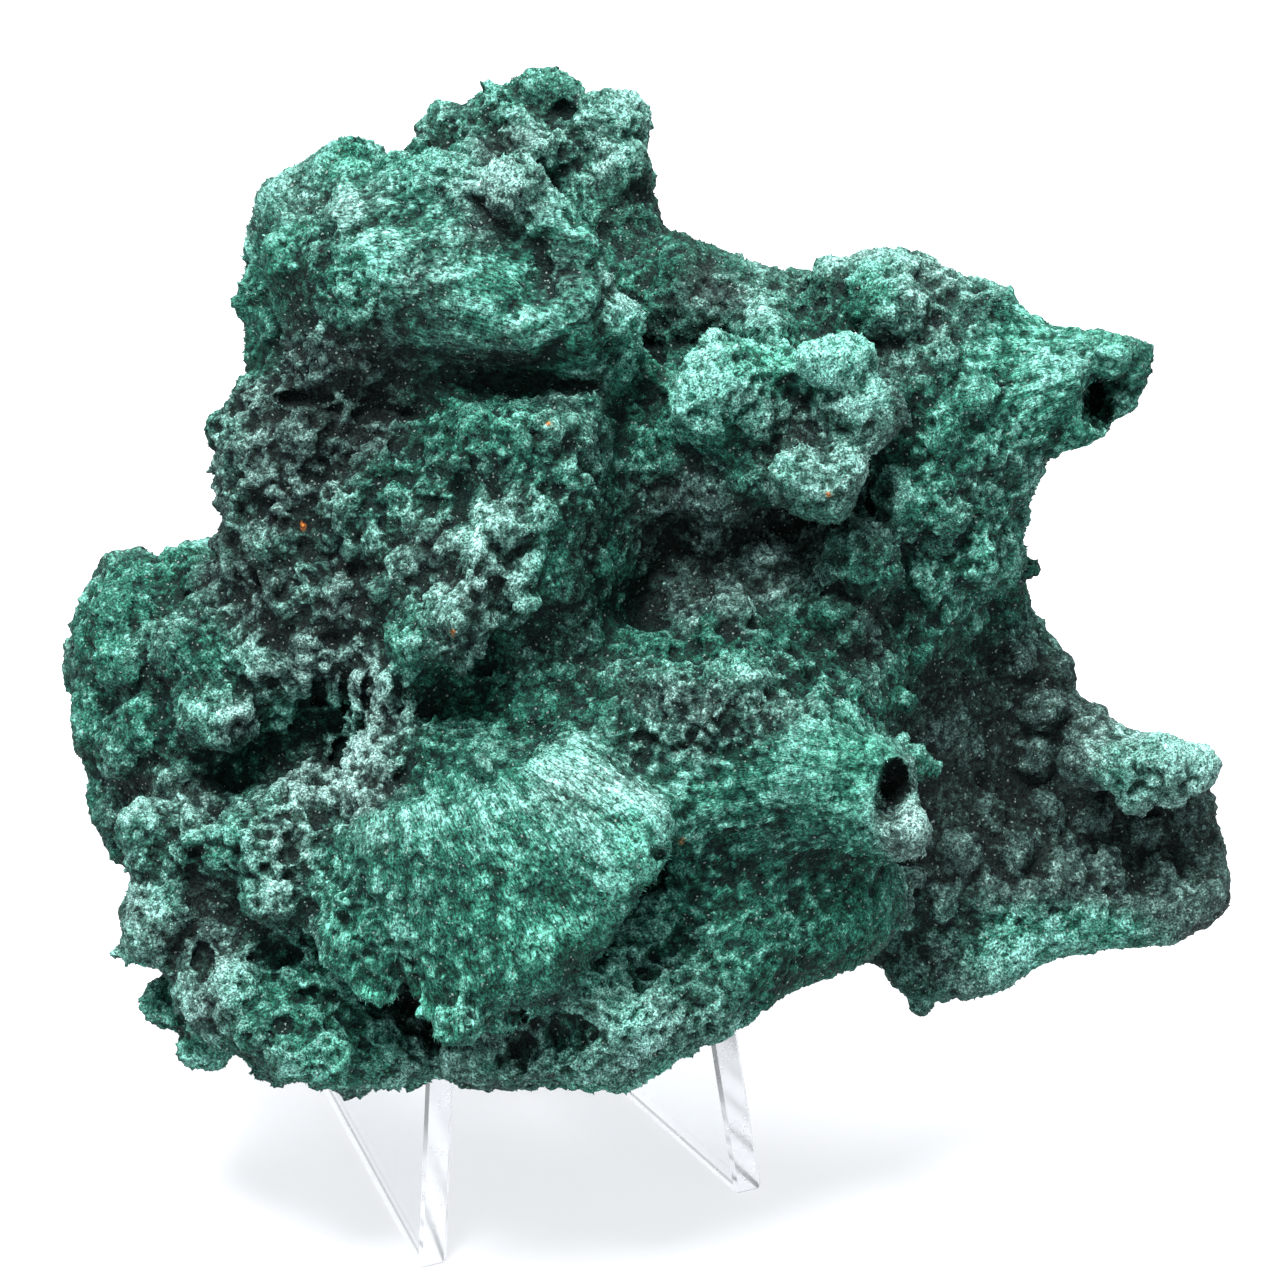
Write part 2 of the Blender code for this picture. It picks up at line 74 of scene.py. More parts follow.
# Regions of the crust: centre, reach, radius of its small knobs, how much of it they cover,
# how fibrous it is, how pitted, how light it is from dark 0 to light 1 (partly its own lightness,
# partly painted shade in recesses and painted highlight on upward ledges), how green it is
# against grey, how clumpy it is, and where its fibres radiate from.
REGIONS = [
    ((-13, 29, 18), 9, 0.5, 0.0, 0.9, 0.3, 0.48, 0.50, 0.3, (-60, 36, 0)),
    ((-29, 29, 13), 7, 0.5, 0.35, 0.3, 0.5, 0.34, 0.25, 0.6, (-60, 36, 0)),
    ((-20, 38, 14), 7, 0.5, 0.0, 0.5, 0.3, 0.64, 0.40, 0.5, (-60, 36, 0)),
    ((-15, 43, 12), 6, 0.5, 0.0, 0.2, 0.5, 0.68, 0.25, 0.9, (-60, 36, 0)),
    ((-2, 31, 12), 5, 0.5, 0.0, 0.4, 0.3, 0.80, 0.40, 0.6, (-30, 34, 4)),
    ((-36, 35, 2), 7, 0.6, 0.0, 0.5, 0.3, 0.52, 0.60, 0.6, (-25, 30, 0)),
    ((-28, 45, 2), 6, 0.6, 0.0, 0.3, 0.2, 0.66, 0.40, 0.5, (-25, 30, 0)),
    ((-13, 50, -10), 10, 0.6, 0.05, 0.0, 0.6, 0.44, 0.30, 0.8, (-10, 45, -14)),
    ((-3, 51, -9), 5, 0.6, 0.0, 0.0, 0.3, 0.74, 0.35, 0.3, (-10, 45, -14)),
    ((-34, 13, 9), 10, 0.62, 0.7, 0.0, 0.45, 0.30, 0.00, 1.2, (-25, 13, 0)),
    ((-24, 12, 16), 6, 0.6, 0.45, 0.0, 0.3, 0.42, 0.25, 1.1, (-25, 13, 0)),
    ((-12, 19, 17), 7, 0.6, 0.25, 0.2, 0.3, 0.50, 0.50, 1.0, (-14, 36, 10)),
    ((-14, 10, 22), 5, 0.6, 0.20, 0.2, 0.3, 0.64, 0.45, 1.0, (-14, 36, 10)),
    ((-18, 1, 20), 5, 0.6, 0.25, 0.1, 0.3, 0.54, 0.30, 0.9, (-14, 36, 10)),
    ((1, 41, -6), 6, 0.6, 0.0, 0.2, 0.4, 0.16, 0.45, 0.6, (16, 25, -10)),
    ((-51, -6, -4), 12, 0.6, 0.0, 0.0, 0.3, 0.48, 0.40, 0.9, (-40, -6, -10)),
    ((-40, -28, 8), 12, 0.6, 0.12, 0.0, 0.4, 0.62, 0.40, 1.0, (-30, -20, -6)),
    ((-31, -9, 13), 7, 0.55, 0.65, 0.0, 0.3, 0.70, 0.05, 1.0, (-25, -8, 0)),
    ((-35, -17, 14), 6, 0.55, 0.45, 0.0, 0.3, 0.54, 0.30, 0.9, (-25, -8, 0)),
    ((-16, -25, 25), 9, 0.6, 0.0, 0.9, 0.05, 0.58, 0.60, 0.3, (-26, -2, 8)),
    ((-3, -16, 25), 7, 0.6, 0.0, 0.8, 0.0, 0.70, 0.50, 0.2, (-26, -2, 8)),
    ((-22, -36, 22), 8, 0.6, 0.05, 0.8, 0.8, 0.68, 0.70, 0.8, (-22, -10, 8)),
    ((-28, -26, 19), 6, 0.6, 0.15, 0.5, 0.6, 0.62, 0.70, 0.9, (-22, -10, 8)),
    ((4, -38, 10), 10, 0.6, 0.0, 0.2, 0.9, 0.74, 0.45, 0.5, (30, -10, 8)),
    ((-15, -43, 8), 7, 0.6, 0.0, 0.0, 0.7, 0.56, 0.25, 0.6, (30, -10, 8)),
    ((-31, -42, 4), 8, 0.6, 0.0, 0.1, 0.5, 0.54, 0.40, 0.6, (-30, -30, -6)),
    ((14, -29, 9), 9, 0.6, 0.0, 0.7, 0.6, 0.42, 0.75, 0.3, (29, -13, 22)),
    ((14, -15, 22), 9, 0.6, 0.0, 0.9, 0.3, 0.74, 0.65, 0.4, (29, -13, 22)),
    ((10, -5, 18), 8, 0.6, 0.40, 0.1, 0.4, 0.50, 0.20, 1.0, (29, -13, 22)),
    ((26, -16, 20), 4, 0.5, 0.05, 0.1, 0.2, 0.65, -0.2, 0.4, (29, -13, 22)),
    ((19, 27, 16), 4, 0.6, 0.0, 0.1, 0.3, 0.84, 0.40, 0.5, (16, 16, 0)),
    ((8, 25, 15), 6, 0.6, 0.0, 0.2, 0.5, 0.70, 0.50, 0.8, (16, 16, 0)),
    ((16, 16, 14), 6, 0.6, 0.0, 0.1, 0.4, 0.60, 0.40, 0.8, (16, 16, 0)),
    ((20, 34, -2), 11, 0.6, 0.0, 0.1, 0.4, 0.54, 0.40, 0.9, (16, 25, -10)),
    ((5, 34, -4), 8, 0.6, 0.0, 0.1, 0.5, 0.24, 0.40, 0.9, (16, 25, -10)),
    ((42, 26, 1), 7, 0.6, 0.0, 1.0, 0.4, 0.58, 0.75, 0.3, (56, 30, -2)),
    ((33, 13, -1), 9, 0.6, 0.0, 0.3, 0.5, 0.62, 0.50, 0.9, (20, 10, -10)),
    ((8, 9, 0), 9, 0.6, 0.0, 0.0, 0.4, 0.54, -0.20, 0.8, (0, 0, -20)),
    # The shelf: painted shade darkens its recess and a painted highlight lightens its upward
    # ledge.
    ((38, -14, -12), 12, 0.6, 0.0, 0.0, 0.0, 0.24, -0.10, 0.2, (30, -15, -30)),
    ((48, -23, -12), 9, 0.6, 0.0, 0.0, 0.0, 0.38, -0.20, 0.2, (30, -15, -30)),
    ((51, -12, -5), 6, 0.6, 0.0, 0.0, 0.3, 0.84, 0.30, 0.5, (45, -15, -20)),
    ((45, -32, -10), 8, 0.6, 0.0, 0.2, 0.0, 0.82, 0.60, 0.2, (40, -20, -20)),
    ((0, 0, -38), 40, 0.7, 0.05, 0.0, 0.3, 0.42, 0.40, 0.6, (0, 0, 0)),
]
CENTRES = np.array([row[0] for row in REGIONS], float)
REACHES = np.array([row[1] for row in REGIONS], float)
VALUES = np.array([row[2:9] for row in REGIONS], float)
FOCUSES = np.array([row[9] for row in REGIONS], float)
REGION_SHARPNESS = 3

# Single knobs that show on the display side: across, up and radius. Each is set into the
# foremost surface at its place.
SINGLE_KNOBS = [
    (-29, 42, 3.2), (-22, 44, 2.6), (-12, 44.6, 3.2), (-8.5, 41.5, 2.6), (-5, 38.6, 2.4),
    (-4, 34.5, 2.4), (-1.8, 30.2, 2.8), (-6.5, 30.6, 2.0), (-36.4, 37, 2.8), (-37, 31, 2.8),
    (-17, 7.4, 1.8), (-12.6, 10, 2.0), (-8.6, 12.6, 1.8), (-20, 8.6, 1.6), (-15, 13, 1.6),
    (-25, 0.4, 1.8), (-22, -0.8, 2.0), (-17.6, -0.4, 2.0), (-14.8, 2, 1.7), (-11, 5.6, 1.7),
    (-18.6, 4, 1.6), (-13.6, 6.6, 1.5), (-22.4, 4.6, 1.6), (-26, 8, 1.7), (-7, 17, 1.8),
    (-29, -30, 3.2), (-26, -34, 2.8), (-22, -37, 2.8), (-17.6, -38.4, 2.6), (-13, -37, 2.4),
    (27.8, -11.8, 1.9), (26.2, -18.8, 2.3), (22.6, -10.4, 2.0), (16, -5, 3.2), (10, -3, 3.0),
    (21, -6.4, 2.6), (5, -5, 2.6), (36, 34.2, 2.0), (43, 31, 2.2), (47.6, 29.4, 2.2),
    (42.6, 23.4, 1.5), (43.4, 26, 1.5), (45.4, 20.2, 1.7), (49, 23.2, 1.7), (50.4, 26, 1.9),
    (13, 20.4, 3.0), (18, 22.4, 4.2), (22, 22, 2.8), (13.4, 15.6, 3.2), (20.4, 8.6, 4.0),
    (13.2, 9.4, 4.0), (5.4, 10, 3.6), (26, 12.6, 3.6), (28, 5, 3.4), (21, 1.4, 3.4), (9, 3, 3.4),
    (12, 32, 2.8), (24, 33, 3.4), (29, 28.6, 2.8), (18, 37, 3.0), (30, 20, 3.0), (34, 24, 2.4),
    (31, 13, 2.8), (34, 7.4, 2.6), (29.6, -1, 2.6), (33, 0, 2.4),
    (36, -17, 3.0), (32, -21, 3.0), (38.4, -21.6, 3.2), (42.4, -17.6, 3.0), (36, -26, 2.8),
    (40, -13, 2.4), (43.6, -23.6, 3.0), (49, -23, 3.0), (47.4, -18.6, 2.8), (34, -12.6, 2.6),
    (31, -27, 2.6), (52, -19, 2.4), (53.6, -23.6, 2.6), (41, -27, 2.6), (46.6, -27.4, 2.4),
    (-46, -28, 3.8), (-41, -34, 3.6), (-45.4, -36, 3.2), (-38, -38, 3.0), (-49, -30, 2.6),
    (-29, -40, 3.4), (-34, -40.6, 3.0), (-25, -41.6, 2.8), (-36, -26, 3.2), (-42, -22, 3.2),
    (-52, 3.6, 3.8), (-54, -2, 4.2), (-51, -8, 4.2), (-53, -12, 3.4), (-47.4, -1, 3.6),
    (-38, -2.6, 3.2), (-41, -9, 4.4), (-49.6, -17, 3.4), (-45, 6, 3.2), (-46.4, -13, 3.4),
    (-9.4, 55.6, 2.8), (-14, 52.6, 3.2), (-19, 52, 2.8), (-4.4, 52, 3.2), (-2, 48.2, 3.0),
    (-8, 50, 3.4), (-15, 48.4, 3.0), (-34, 20, 2.6), (-38, 14, 2.4), (-31, 13, 2.8),
    (-36, 8, 2.8), (-27, 18, 2.4), (-30, 5, 2.8), (-39.4, 18, 2.2), (-24, 7, 2.4),
]
# Knobs that round off the outline: across, up, out and radius.
OUTLINE_KNOBS = [
    (-19, 51.8, -12, 3.8), (-14.6, 53.6, -12, 3.4), (-9.4, 55.4, -12, 4.0), (-3.2, 52, -10, 4.4),
    (-1.8, 47.4, -9, 3.4), (-11, 49.6, -7, 3.2), (-17, 48.6, -7, 2.8), (-21.6, 49, -10, 2.2),
    (-28.4, 45.8, 3, 4.0), (-33.8, 43.4, 1, 3.8), (-36.6, 39.4, 0, 3.0), (-37.6, 34.4, 0, 2.8),
    (-37, 28.6, 0, 2.8), (-24, 45.4, 8, 2.8), (-18.4, 45.6, 9, 2.6),
    (-54.8, -2.6, -9, 4.4), (-51.8, 4.8, -9, 4.0), (-53.4, -9.6, -9, 3.8), (-50.6, -16.8, -8, 3.4),
    (-46.4, 6.6, -7, 3.0), (-48.4, -23.6, -4, 3.0), (-49.2, -29, -2, 3.2), (-46.8, -36.4, -1, 3.2),
    (-43.4, -40.6, 0, 2.8), (-35.6, -42.2, 0, 2.8), (-28.6, -43, 2, 2.4), (-22.6, -42.6, 3, 2.2),
    (-5, -42.8, 4, 2.2), (-12, -43, 4, 2.2),
    (48, -12.8, -3, 2.9), (52.4, -12.4, -4, 3.0), (55.6, -13, -6, 2.6), (44.6, -12.4, -4, 2.2),
    (54, -15.4, -6, 2.0), (50, -15.6, -5, 2.0), (41, -7, -11, 2.2), (38.6, -2, -12, 2.2),
    (-6.6, 37.4, 15, 3.2), (-6.4, 33, 16, 3.0), (-9.4, 41, 14.5, 3.0), (-13, 43.4, 14, 3.0),
    (-19, 44.6, 12, 3.0), (-3, 31, 14, 2.6), (-6, 29.4, 16, 2.6),
]
# How deep a single knob sits, as a share of its radius, and how far around its place the
# foremost surface is looked for, at least.
SINGLE_SINK = 0.5
SINGLE_SEARCH = 0.9
SEARCH_SLACK = 1.01

# Holes pushed back into the foremost surface: across, up, half width, half height, depth.
HOLES = [
    (24.4, -13.8, 1.5, 2.5, 4.0), (45.7, 23.3, 1.6, 2.7, 4.0), (-31.6, -5.2, 0.8, 2.4, 2.2),
    (-29, -5.8, 0.7, 2.4, 2.2), (-26.4, -5.2, 0.8, 2.2, 2.2), (-23.4, -5.4, 0.8, 1.8, 1.8),
    (20, 4.4, 2.2, 1.3, 1.4), (23.6, 14, 1.3, 2.4, 1.6), (-6.4, 24.6, 2.2, 0.9, 1.6),
    (-25, 22, 3.4, 1.1, 1.6), (-33, 23.6, 3.0, 0.9, 1.4), (-36, -31, 2.6, 1.4, 1.6),
    (-31.6, -35, 2.0, 1.2, 1.6), (-43, -31.6, 1.2, 2.0, 1.4), (0.6, -24.4, 1.6, 1.0, 2.2),
    (-4, -30.6, 1.2, 1.2, 2.2), (-12, -36.6, 1.0, 1.6, 2.2), (2, -20.4, 1.0, 0.7, 1.6),
]
# How far behind the foremost point a hole still takes the surface along.
HOLE_REACH = 6.0

# The crowd of small knobs: how many, how much their cover changes from patch to patch, how
# their sizes spread, how close they stand, how far they rise or sink, and how uneven they are.
MOST_KNOBS = 12000
KNOB_TRIES = 40000
COVER_PATCH = 3.5
COVER_MEAN = 0.75
COVER_CHANGE = 0.5
KNOB_SPREAD = 0.42
KNOB_SPREAD_LIMITS = (0.5, 2.2)
KNOB_SPACING = 0.85
KNOB_OFFSETS = (-0.3, 0.6)
BALL_STRETCH = (0.8, 1.2)
SMALL_UNEVEN = 0.12
LARGE_UNEVEN = 0.08

# Fibre ribs: how many to a radian, how long they run before they shift, and which way they
# shift.
RIBS = 26
RIB_LENGTH = 7.0
RIB_DEPTH = 0.26
RIB_DRIFT = np.array((0.9, -0.7, 0.5))

# The crust: sizes of its packed clumps and how far they rise, the mean height of packed
# knobs, its roughness, granules and pits, and how these change with knob cover and fibres.
CLUMPS = [(5.2, 1.1), (2.3, 0.8)]
PACKED_MEAN = 0.6
CRUST_SIZE = 1.7
CRUST_RISE = 0.42
CRUST_BY_COVER = 1.3
CRUST_BY_FIBRE = 0.6
GRANULE_SIZE = 0.8
GRANULE_RISE = 0.28
GRANULE_BY_FIBRE = 0.7
PIT_SIZE = 1.3
PIT_DEPTH = 0.85
GRAIN = 0.07

# The nap: pieces, tips for each, and sizes of a tip on bare crust and on fibres, with how
# much they vary, how they lean along the fibres and how they scatter.
NAP_PIECES = 2
TIPS_PER_PIECE = 49500
TIP_WIDTH = 0.13
TIP_LENGTH = 0.24
FIBRE_LENGTH = 0.6
FIBRE_WIDTH = 0.075
LENGTH_RANGE = (0.5, 1.5)
WIDTH_RANGE = (0.6, 1.6)
TIP_ROOT = 0.1
TIP_LEAN = 0.1
FIBRE_LEAN = 3.6
TIP_JITTER = 0.5
FIBRE_STEADIES = 0.22
# Fewer tips stand on the back: depth over which they thin out, share at the middle, least.
NAP_FADE_DEPTH = 30
NAP_MIDDLE_SHARE = 0.8
NAP_LEAST_SHARE = 0.25
# Tints of the tips: feet darkened as painted shade, spread of brightness, and a few tips painted
# pale as glints.
FOOT_SHADE = 0.6
TIP_TINT_SPREAD = 0.75
SPARK_FROM = 0.97
SPARK_SHARE = 0.5
DULL_SHARE = 0.05
SPARK_SHINE = 1.3

# Colours, linear.
DARK = np.array((0.002, 0.010, 0.008))
DEEP_GREEN = np.array((0.004, 0.055, 0.032))
TEAL = np.array((0.020, 0.105, 0.078))
PALE = np.array((0.15, 0.38, 0.32))
GREY = np.array((0.13, 0.20, 0.19))
RUST = np.array((0.33, 0.10, 0.015))
# From dark to pale, as from painted shade in the hollows to painted highlight on the crowns: each
# colour with how fast light brings it in and how late it starts.
TINT_STEPS = [
    (DEEP_GREEN * 0.6 + TEAL * 0.25, 2.2, 0.0),
    (TEAL, 2.2, 0.7),
    (PALE, 1.9, 1.1),
]
# What lightens a point: patches, fine mottling, grain and ribs, each with its size and strength,
# then painted light by its upward facing, and painted highlight on its crown or painted shade in
# its hollow.
LIGHT_START = -0.20
CLOUD_SIZE, CLOUD_LIGHT = 5.5, 0.28
MOTTLE_SIZE, MOTTLE_LIGHT = 1.1, 0.30
SPECKLE_SIZE, SPECKLE_LIGHT = 0.4, 0.28
MOTTLE_LOST_ON_FIBRES = 0.6
RIB_FINER, RIB_LIGHT = 1.6, 0.55
# Painted highlight on upward faces, painted shade on downward ones.
UPWARD_PAINTED_LIGHT = 0.20
# Painted shade in the hollows, more where small knobs cover the crust, and painted highlight on
# the crowns, within limits of hollowness.
HOLLOW_PAINTED_SHADE = 0.5
HOLLOW_PAINTED_SHADE_BY_COVER = 0.35
HOLLOW_LIMITS = (-0.45, 1.3)
# Hollowness at three widths: rounds of smoothing, depth that counts as full, share.
HOLLOW_WIDTHS = [(3, 0.16, 0.35), (18, 0.6, 0.6), (110, 2.2, 0.5)]
# Patches of greener and greyer crust: size, strength, and how strongly each shows.
GREEN_PATCH, GREEN_CHANGE = 7, 0.5
GREY_BELOW, GREY_STRENGTH = 0.5, 1.5
LUSH_ABOVE, LUSH_STRENGTH = 0.55, 0.9
DARKEST = 0.001
# Small rusty specks on the display side: across and up.
SPECKS = np.array([(-33, 11.2), (18.2, 14.0), (-8.7, 20.8), (-17.7, 0.8), (4.0, -19.5)])
SPECK_RADIUS = 0.28
SPECK_RAGGED = 0.6
SPECK_EDGE = 0.15

# Materials, with linear colours. Scales are in cells to a metre, and the streaks' in cells to
# a rib. Where a region is fibrous enough, the streaks follow its ribs.
GRAIN_SCALE = 3000
CRYSTAL_SCALE = 5500
STREAK_SCALE = 6.0
STREAKS_FROM = 0.45
STREAK_DRIFT = 0.6
CRUST_STREAKS_PER_MM = 0.7
# Painted glints: a few lone crystals take a pale colour in place of glints; they are also
# glossier.
PAINTED_GLINT_COLOUR = (0.45, 0.60, 0.55)
PAINTED_GLINTS_FROM = 0.985
PAINTED_GLINT_SHARE = 0.3
STONE_ROUGHNESS, CRYSTAL_ROUGHNESS = 0.72, 0.3
STONE_BUMP = 0.25 * MM
NAP_GRAIN_SCALE = 1500
ACRYLIC_TINT = (0.97, 0.985, 1.0, 1)
ACRYLIC_IOR = 1.49
SCUFF_SCALE = 220
WAVE_SCALE = 60
# A plate's cut edges are where it faces across less than this. They are frosted and less
# clear.
EDGE_FACING = 0.8
EDGE_FROST = 0.22
EDGE_CLEARNESS = 0.72
FLOOR_COLOUR = (0.36, 0.365, 0.38, 1)
FLOOR_GLOW = (0.95, 0.97, 1.0, 1)
FLOOR_GLOW_STRENGTH = 0.72

# The stage, in metres and watts: half the floor's width, the light all around, and for each
# light its name, place, width and power.
FLOOR_REACH = 3.0
SKY_COLOUR = (0.97, 0.985, 1.0, 1)
SKY_STRENGTH = 0.72
LIGHTS = [
    ("key", (-0.28, -0.22, 0.95), 0.42, 19),
    ("top", (0.15, 0.20, 0.95), 0.5, 10),
]

# Noise: primes that shuffle the cells' numbers, how far apart its layers lie, and what their
# sum is divided by.
CELL_PRIMES = np.array((73856093, 19349663, 83492791))
SEED_PRIME = 7919
SHUFFLE_PRIME = 1274126177
LAYER_SHIFT = 17.3
LAYER_SUM = 1.5
# Packed knobs: their least radius and how much larger they get, in cells, and how patterns
# are bent so that they look grown.
PACKED_RADIUS = 0.5
PACKED_MORE = 0.45
BEND_SHIFT = 31
BEND = 0.35


def random_share(cell, seed):
    """A number from 0 to 1 for each whole-number cell."""
    key = cell @ CELL_PRIMES + seed * SEED_PRIME
    key = (key ^ (key >> 13)) * SHUFFLE_PRIME
    return ((key ^ (key >> 16)) & 0xFFFF) / 0xFFFF


def smooth_noise(points, seed=0):
    """A smooth random field from -1 to 1 with cells 1 wide, one value for each point."""
    cell = np.floor(points).astype(np.int64)
    inside = points - cell
    ease = inside * inside * (3 - 2 * inside)
    total = np.zeros(len(points))
    for corner in np.ndindex(2, 2, 2):
        value = 2 * random_share(cell + corner, seed) - 1
        total += value * np.prod(np.where(corner, ease, 1 - ease), axis=1)
    return total


def layered_noise(points, layers, seed=0):
    """Noise of halving size and strength, about -1 to 1."""
    total = np.zeros(len(points))
    for layer in range(layers):
        placed = points * 2**layer + LAYER_SHIFT * layer
        total += smooth_noise(placed, seed + layer) / 2**layer
    return total / LAYER_SUM


def packed_knobs(points, seed):
    """Round knobs of mixed sizes about 1 apart: near 1 on a crown, 0 in a crease."""
    home = np.floor(points).astype(np.int64)
    nearest = np.full(len(points), np.inf)
    for step in np.ndindex(3, 3, 3):
        cell = home + np.array(step) - 1
        place = cell + np.stack([random_share(cell, seed + axis) for axis in range(3)], axis=1)
        radius = PACKED_RADIUS + PACKED_MORE * random_share(cell, seed + 3)
        nearest = np.minimum(nearest, ((place - points) ** 2).sum(1) / radius**2)
    return np.sqrt(np.clip(1 - nearest, 0, 1))


def bent(points, size, seed):
    """Points shifted by up to a third of a cell, so that a pattern on them looks grown."""
    cells = points / size
    shift = [smooth_noise(cells + BEND_SHIFT * axis, seed + axis) for axis in range(3)]
    return cells + np.stack(shift, axis=1) * BEND


def to_display(points):
    """Row frame metres to (across, up, out) millimetres."""
    turned = (points - np.array(VIEW_CENTRE)) @ np.array(DISPLAY) / MM
    return np.stack([turned[:, 0], turned[:, 2], -turned[:, 1]], axis=1)


def from_display(shown):
    """The way back from (across, up, out) millimetres to row frame metres."""
    turned = np.stack([shown[:, 0], -shown[:, 2], shown[:, 1]], axis=1)
    return turned @ np.array(DISPLAY).T * MM + np.array(VIEW_CENTRE)


def region_values(shown):
    """For each point the seven values of REGIONS, and the focus of its fibres."""
    weights = np.empty((len(shown), len(REGIONS)))
    for index, (centre, reach) in enumerate(zip(CENTRES, REACHES)):
        far = ((shown - centre) ** 2).sum(1) / reach**2
        weights[:, index] = np.exp(-REGION_SHARPNESS * far)
    weights += TINY
    values = weights @ VALUES / weights.sum(1)[:, None]
    return values, FOCUSES[weights.argmax(1)]


def mesh_arrays(mesh):
    """Vertex places, vertex normals and triangles of a mesh."""
    mesh.calc_loop_triangles()
    places = np.empty(len(mesh.vertices) * 3, np.float32)
    mesh.vertices.foreach_get("co", places)
    normals = np.empty(len(mesh.vertices) * 3, np.float32)
    mesh.vertex_normals.foreach_get("vector", normals)
    corners = np.empty(len(mesh.loop_triangles) * 3, np.int32)
    mesh.loop_triangles.foreach_get("vertices", corners)
    return (
        places.reshape(-1, 3).astype(float),
        normals.reshape(-1, 3).astype(float),
        corners.reshape(-1, 3),
    )


def set_places(mesh, places):
    mesh.vertices.foreach_set("co", places.astype(np.float32).ravel())
    mesh.update()


def new_piece(name, places, triangles):
    """An object with a mesh of triangles."""
    mesh = bpy.data.meshes.new(name)
    mesh.vertices.add(len(places))
    mesh.vertices.foreach_set("co", places.astype(np.float32).ravel())
    mesh.loops.add(triangles.size)
    mesh.loops.foreach_set("vertex_index", triangles.astype(np.int32).ravel())
    mesh.polygons.add(len(triangles))
    mesh.polygons.foreach_set("loop_start", np.arange(len(triangles), dtype=np.int32) * 3)
    mesh.update(calc_edges=True)
    mesh.validate()
    piece = bpy.data.objects.new(name, mesh)
    bpy.context.scene.collection.objects.link(piece)
    return piece


def apply_modifiers(piece):
    bpy.context.view_layer.update()
    graph = bpy.context.evaluated_depsgraph_get()
    mesh = bpy.data.meshes.new_from_object(piece.evaluated_get(graph))
    piece.modifiers.clear()
    piece.data = mesh


def neighbour_smooth(places, triangles, rounds):
    """Each place moved to its neighbours' mean, several times over."""
    edges = np.vstack([triangles[:, (0, 1)], triangles[:, (1, 2)], triangles[:, (2, 0)]])
    count = np.bincount(edges.ravel(), minlength=len(places))[:, None]
    for _ in range(rounds):
        total = np.stack(
            [
                np.bincount(edges[:, 0], places[edges[:, 1], axis], len(places))
                + np.bincount(edges[:, 1], places[edges[:, 0], axis], len(places))
                for axis in range(3)
            ],
            axis=1,
        )
        places = total / np.maximum(count, 1)
    return places


def scatter(places, normals, triangles, number, rng, weight=None):
    """Random points on the surface with their normals, triangles and corner shares."""
    a, b, c = (places[triangles[:, corner]] for corner in range(3))
    area = np.linalg.norm(np.cross(b - a, c - a), axis=1)
    if weight is not None:
        area = area * weight
    chosen = rng.choice(len(triangles), number, p=area / area.sum())
    share = rng.random((number, 2))
    share = np.where(share.sum(1)[:, None] > 1, 1 - share, share)
    share = np.column_stack([1 - share.sum(1), share])
    picked = triangles[chosen]
    where = (places[picked] * share[..., None]).sum(1)
    facing = (normals[picked] * share[..., None]).sum(1)
    facing /= np.linalg.norm(facing, axis=1)[:, None] + TINY
    return where, facing, picked, share


def spaced(points, gaps):
    """Indices of points that keep their gaps to each other, in the order given."""
    size = gaps.max()
    cells = {}
    kept = []
    for index, (point, gap) in enumerate(zip(points, gaps)):
        home = tuple(int(math.floor(value / size)) for value in point)
        near = [
            other
            for x in (-1, 0, 1)
            for y in (-1, 0, 1)
            for z in (-1, 0, 1)
            for other in cells.get((home[0] + x, home[1] + y, home[2] + z), ())
        ]
        if all(((points[other] - point) ** 2).sum() > gap**2 for other in near):
            cells.setdefault(home, []).append(index)
            kept.append(index)
    return np.array(kept)


def unit_ball(subdivisions):
    """Places and triangles of a round ball."""
    bm = bmesh.new()
    bmesh.ops.create_icosphere(bm, subdivisions=subdivisions, radius=1)
    places = np.array([vertex.co for vertex in bm.verts])
    triangles = np.array([[vertex.index for vertex in face.verts] for face in bm.faces])
    bm.free()
    return places, triangles


def lumpy_balls(middle, radius, subdivisions, uneven, rng):
    """Uneven balls at their middles: places and triangles."""
    ball, ball_triangles = unit_ball(subdivisions)
    lumps = ball[None] * radius[:, None, None]
    lumps = lumps * rng.uniform(*BALL_STRETCH, (len(middle), 1, 3))
    lumps = lumps * rng.normal(1, uneven, (len(middle), len(ball), 1))
    places = (middle[:, None] + lumps).reshape(-1, 3)
    steps = np.arange(len(middle)) * len(ball)
    triangles = (ball_triangles[None] + steps[:, None, None]).reshape(-1, 3)
    return places, triangles


def single_knobs(places, normals):
    """Middles and radii of the knobs of SINGLE_KNOBS and OUTLINE_KNOBS, in metres."""
    shown = to_display(places)
    middles = []
    radii = []
    for across, up, radius in SINGLE_KNOBS:
        apart = np.hypot(shown[:, 0] - across, shown[:, 1] - up)
        near = np.nonzero(apart < max(SINGLE_SEARCH, apart.min() * SEARCH_SLACK))[0]
        foremost = near[shown[near, 2].argmax()]
        sink = radius * SINGLE_SINK * MM
        middles.append(places[foremost] - normals[foremost] * sink)
        radii.append(radius * MM)
    outline = np.array(OUTLINE_KNOBS, float)
    middles.extend(from_display(outline[:, :3]))
    radii.extend(outline[:, 3] * MM)
    return np.array(middles), np.array(radii)


